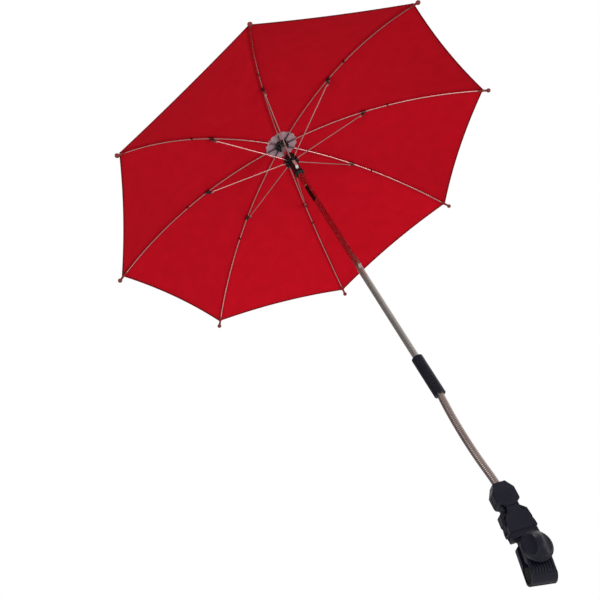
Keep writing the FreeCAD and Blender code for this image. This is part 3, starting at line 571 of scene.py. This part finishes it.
def hem_band():
    """Oval band carried along the hem: its long axis runs in along the cover, its short one stands off it."""
    share = np.linspace(-1.0, 1.0, hem_columns)[:, None]
    turn = np.linspace(0.0, 2 * math.pi, hem_around, endpoint=False)[None]
    inward = hem_width / 2 * (1 - np.sign(np.cos(turn)) * np.abs(np.cos(turn)) ** hem_roundness)
    radius = hem_at(np.abs(share)) - inward
    side = share * radius * math.sin(half_gore) * math.cos(half_gore)
    points = cover_point(radius, side)
    slope = np.arcsin((radius - pivot_radius) / rib_bend)
    proud = hem_thickness / 2 * np.sin(turn)
    points = points + np.stack([proud * np.sin(slope), 0 * slope, proud * np.cos(slope)], axis=-1)
    return points, inward + 0 * share, side + 0 * turn


for k in ribs:
    directions = rib_frame(k)
    points, inward, side = hem_band()
    hem = grid_piece(f"hem_{k}", points @ directions + hub, around=True)
    gore_uv(hem, inward, side)
    hem.data.materials.append(hem_cloth)
    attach(hem, f"rib_{k}")
    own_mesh(hem)

# Thread ties: the cover is whipped to each rib half way out and to each tip, with a few turns of thread, dark
# red on the ribs and red at the tips.
tie_radius = 189.0 * MM
tie_half_width = 1.35 * MM
corner_radius = 330.5 * MM
corner_half_width = 2.25 * MM
thread_radius = 0.28 * MM
thread_sides = 8
tie_turns = 5
steps_per_turn = 24
tie_width = 3.4 * MM


def twisted_thread(name, color, shade):
    """Sewing thread: fine twist lines as bump and as a change of shade."""
    material, tree, shader, place = bare_finish(name, color, 0.7)
    lay = add(tree, "TexWave", {"Vector": place["Object"], "Scale": 900.0, "Distortion": 2.0}).outputs["Fac"]
    bumped(tree, shader, lay, 0.4, 0.05 * MM)
    tree.links.new(mixed(tree, lay, color, shade), shader.inputs["Base Color"])
    shader.inputs["Specular IOR Level"].default_value = 0.15
    return material


tie_thread = twisted_thread("tie_thread", (0.10, 0.009, 0.011), (0.07, 0.007, 0.008))
corner_thread = twisted_thread("corner_thread", (0.40, 0.0040, 0.0120), (0.30, 0.0030, 0.0090))


def whipping(place, half_width, below, above):
    """Thread wound round the rib and through the cover: a helix on an oval, with its own round section, drawn
    at the notch and carried along the rib's bend to its radius."""
    turn = np.linspace(0.0, 2 * math.pi * tie_turns, steps_per_turn * tie_turns + 1)
    height = (above + below) / 2 * np.sin(turn) + (above - below) / 2
    line = np.stack([tie_width * (turn / turn[-1] - 0.5), half_width * np.cos(turn), height], axis=-1)
    tangent = np.gradient(line, axis=0)
    tangent /= np.linalg.norm(tangent, axis=1)[:, None]
    first = np.cross(tangent, np.array([1.0, 0.0, 0.0]))
    first /= np.linalg.norm(first, axis=1)[:, None]
    second = np.cross(tangent, first)
    section = np.linspace(0.0, 2 * math.pi, thread_sides, endpoint=False)[:, None]
    ring = first[:, None] * np.cos(section) + second[:, None] * np.sin(section)
    points = line[:, None] + thread_radius * ring
    bend = bend_at(place)
    lifted = points[..., 2] + rib_bend
    out = pivot_radius + lifted * math.sin(bend) + points[..., 0] * math.cos(bend)
    up = lifted * math.cos(bend) - points[..., 0] * math.sin(bend) - rib_bend
    return np.stack([out, points[..., 1], up], axis=-1)


for k in ribs:
    directions = rib_frame(k)
    for name, place, half_width, thread in (
            ("tie", tie_radius, tie_half_width, tie_thread),
            ("corner_stitch", corner_radius, corner_half_width, corner_thread)):
        points = whipping(place, half_width, half_width, cloth_lift + cloth_thickness)
        tie = grid_piece(f"{name}_{k}", points @ directions + hub, around=True)
        tie.data.materials.append(thread)
        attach(tie, f"rib_{k}")

# Rosette: a thin, pinked and gathered disc of greyish gauze sewn under the crown, so that the hub doesn't
# chafe the cover. Its middle stays on the notch as a collar, and each petal of it goes with a rib, clear of
# the notch.
rosette_radius = 28.5 * MM
rosette_hole = 12.2 * MM
collar_hole = 7.0 * MM
rosette_lift = 2.0 * MM
rosette_fall = 0.35 * MM
rosette_wave = 0.35 * MM
scallop_share = 0.07
petal_columns = 49
petal_rows = 15
collar_columns = 192
collar_rows = 5
gauze_thickness = 0.15 * MM
gauze_threads = 1500.0
gauze_grey = (0.36, 0.235, 0.27)
gauze_crease_shade = (0.06, 0.032, 0.042)
gauze, gauze_tree, gauze_shader, gauze_place = bare_finish("rosette_gauze", gauze_grey, 0.66)
gauze_weave = placed(gauze_tree, plain_weave, Vector=gauze_place["UV"], Threads=gauze_threads)
# Along each gathered fold the gauze is painted near black: painted shade in the creases.
gauze_fold = add(gauze_tree, "Attribute", attribute_name="fold").outputs["Fac"]
crease_painted_shade = mapped(gauze_tree, gauze_fold, 0.88, 1.0)
gauze_tree.links.new(mixed(gauze_tree, crease_painted_shade, gauze_grey, gauze_crease_shade), gauze_shader.inputs["Base Color"])
bumped(gauze_tree, gauze_shader, gauze_weave["Height"], 0.5, 0.08 * MM)


def petal_grid():
    """One petal in the rib's frame: a sector whose rim is scalloped and whose height dips at each gathered
    fold, sixteen of each round the whole disc."""
    turn = np.linspace(-half_gore, half_gore, petal_columns)[None]
    reach = np.linspace(0.0, 1.0, petal_rows)[:, None]
    lobe = np.abs(np.cos(len(ribs) * turn))
    rim = rosette_radius * (1 - scallop_share * (1 - lobe))
    radius = rosette_hole + (rim - rosette_hole) * reach
    fold = (1 - lobe) ** 2 + 0 * reach
    height = rosette_lift - rosette_fall * reach - rosette_wave * fold * reach
    points = np.stack([radius * np.cos(turn), radius * np.sin(turn), height], axis=-1)
    return points, radius, turn * rosette_radius + 0 * reach, fold


for k in ribs:
    directions = rib_frame(k)
    points, radius, across, fold = petal_grid()
    petal = grid_piece(f"rosette_petal_{k}", points @ directions + hub)
    gore_uv(petal, radius, across)
    mark(petal, "fold", fold)
    petal.data.materials.append(gauze)
    thicken(petal, gauze_thickness)
    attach(petal, f"rib_{k}")
    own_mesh(petal)
    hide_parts("rosette")

collar_turn = np.linspace(0.0, 2 * math.pi, collar_columns, endpoint=False)[None]
collar_radius = np.linspace(collar_hole, rosette_hole, collar_rows)[:, None]
collar_spoke = np.stack([np.cos(collar_turn), np.sin(collar_turn)], axis=-1)
collar_height = np.full((collar_rows, collar_columns, 1), rosette_lift)
collar_points = np.concatenate([collar_radius[..., None] * collar_spoke, collar_height], axis=-1)
collar = grid_piece("rosette_collar", collar_points @ rib_frame(1) + hub, around=True)
gore_uv(collar, collar_radius + 0 * collar_turn, collar_turn * rosette_hole + 0 * collar_radius)
mark(collar, "fold", (1 - np.abs(np.cos(len(ribs) * collar_turn))) ** 2 + 0 * collar_radius)
collar.data.materials.append(gauze)
thicken(collar, gauze_thickness)
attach(collar, "mast")
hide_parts("rosette")

# Top cap: a glossy black moulding like a small mushroom, pressed on the mast over the crown of the cover.
cap_plastic = moulded("cap_plastic", (0.010, 0.010, 0.011), 0.20, 1400.0, 0.015 * MM, 0.5 * MM, 2.0)
dress(cap_plastic, "top_cap")

# Studio: a pale floor below the height at which a pram would hold the clamp, white all round, a soft lamp
# from the right, a larger and softer one by the camera, and one from above. A curved grey card stands to the
# left, where only polished surfaces mirror it, so that the plating has a dark side and a bright one.
scene = bpy.context.scene
scene.view_settings.view_transform = "Standard"
floor_height = -0.75
floor_half = 6.0
floor_pale, floor_tree, floor_shader, floor_place = bare_finish("floor_pale", (0.80, 0.80, 0.79), 0.85)
floor_speck = add(floor_tree, "TexNoise", {"Vector": floor_place["Object"], "Scale": 3.0, "Detail": 3.0})
floor_tone = mixed(floor_tree, floor_speck.outputs["Fac"], (0.79, 0.79, 0.78), (0.82, 0.82, 0.81))
floor_tree.links.new(floor_tone, floor_shader.inputs["Base Color"])
floor_side = np.linspace(-floor_half, floor_half, 3)
floor_points = np.stack(np.meshgrid(floor_side, floor_side, [floor_height]), axis=-1)[:, :, 0]
floor = grid_piece("floor", floor_points)
floor.data.materials.append(floor_pale)

card_distance = 3.0
card_columns = 48
card_starts = 68.0
card_ends = 350.0
card_low = -0.6
card_high = 6.0
card_turn = np.radians(np.linspace(card_starts, card_ends, card_columns))[:, None]
card_rise = np.linspace(card_low, card_high, 3)[None]
card_points = np.stack([hub[0] + card_distance * np.cos(card_turn) + 0 * card_rise,
                        card_distance * np.sin(card_turn) + 0 * card_rise,
                        card_rise + 0 * card_turn], axis=-1)
card_grey, card_tree, card_shader, card_place = bare_finish("card_grey", (0.3, 0.3, 0.3), 0.9)
card_side = add(card_tree, "SeparateXYZ", {0: card_place["Object"]}).outputs["X"]
card_fade = mapped(card_tree, card_side, -2.3, 2.9)
card_tone = mixed(card_tree, card_fade, (0.31, 0.30, 0.30), (0.96, 0.95, 0.94))
card_tree.links.new(card_tone, card_shader.inputs["Base Color"])
card = grid_piece("grey_card", card_points)
card.data.materials.append(card_grey)
card.visible_camera = False
card.visible_diffuse = False
card.visible_shadow = False

ambient = 0.65
world = bpy.data.worlds.new("studio")
scene.world = world
world.use_nodes = True
rays = add(world.node_tree, "LightPath").outputs
seen = sums(world.node_tree, "MAXIMUM", rays["Is Camera Ray"], rays["Is Glossy Ray"])
seen = sums(world.node_tree, "MAXIMUM", seen, rays["Is Transmission Ray"])
strength = mapped(world.node_tree, seen, 0.0, 1.0, ambient, 1.0)
sky = world.node_tree.nodes["Background"]
sky.inputs["Color"].default_value = (1.0, 1.0, 1.0, 1.0)
world.node_tree.links.new(strength, sky.inputs["Strength"])

canopy_middle = Vector(hub)
lamp_spread = 90.0


def soft_lamp(name, place, size, power):
    """Square area lamp aimed at the canopy, with a grid in front that keeps its light off the floor."""
    lamp = bpy.data.lights.new(name, "AREA")
    lamp.size = size
    lamp.spread = math.radians(lamp_spread)
    lamp.energy = power
    holder = bpy.data.objects.new(name, lamp)
    holder.location = place
    holder.rotation_mode = "QUATERNION"
    holder.rotation_quaternion = (canopy_middle - Vector(place)).to_track_quat("-Z", "Y")
    scene.collection.objects.link(holder)


soft_lamp("key_lamp", (1.5, -0.9, -0.3), 1.0, 3.9)
soft_lamp("fill_lamp", (-1.2, -1.2, 0.0), 1.8, 7.6)
soft_lamp("top_lamp", (0.5, -0.7, 2.4), 1.2, 7.0)

# Camera: fitted to the rib tips, the stretchers' joints and the mast, so its place and axes are odd numbers.
camera_place = Vector(hub) + Vector((-0.53057, -1.01459, -1.07658))
camera_right = Vector((0.91023, -0.07437, -0.40739))
camera_down = Vector((-0.26841, 0.64317, -0.71713))
camera_ahead = Vector((0.31536, 0.76210, 0.56547))
eye = bpy.data.cameras.new("camera")
eye.lens = 54.79
eye.sensor_width = 36.0
camera = bpy.data.objects.new("camera", eye)
turn = Matrix((camera_right, -camera_down, -camera_ahead)).transposed()
camera.matrix_world = Matrix.Translation(camera_place) @ turn.to_4x4()
scene.collection.objects.link(camera)
scene.camera = camera
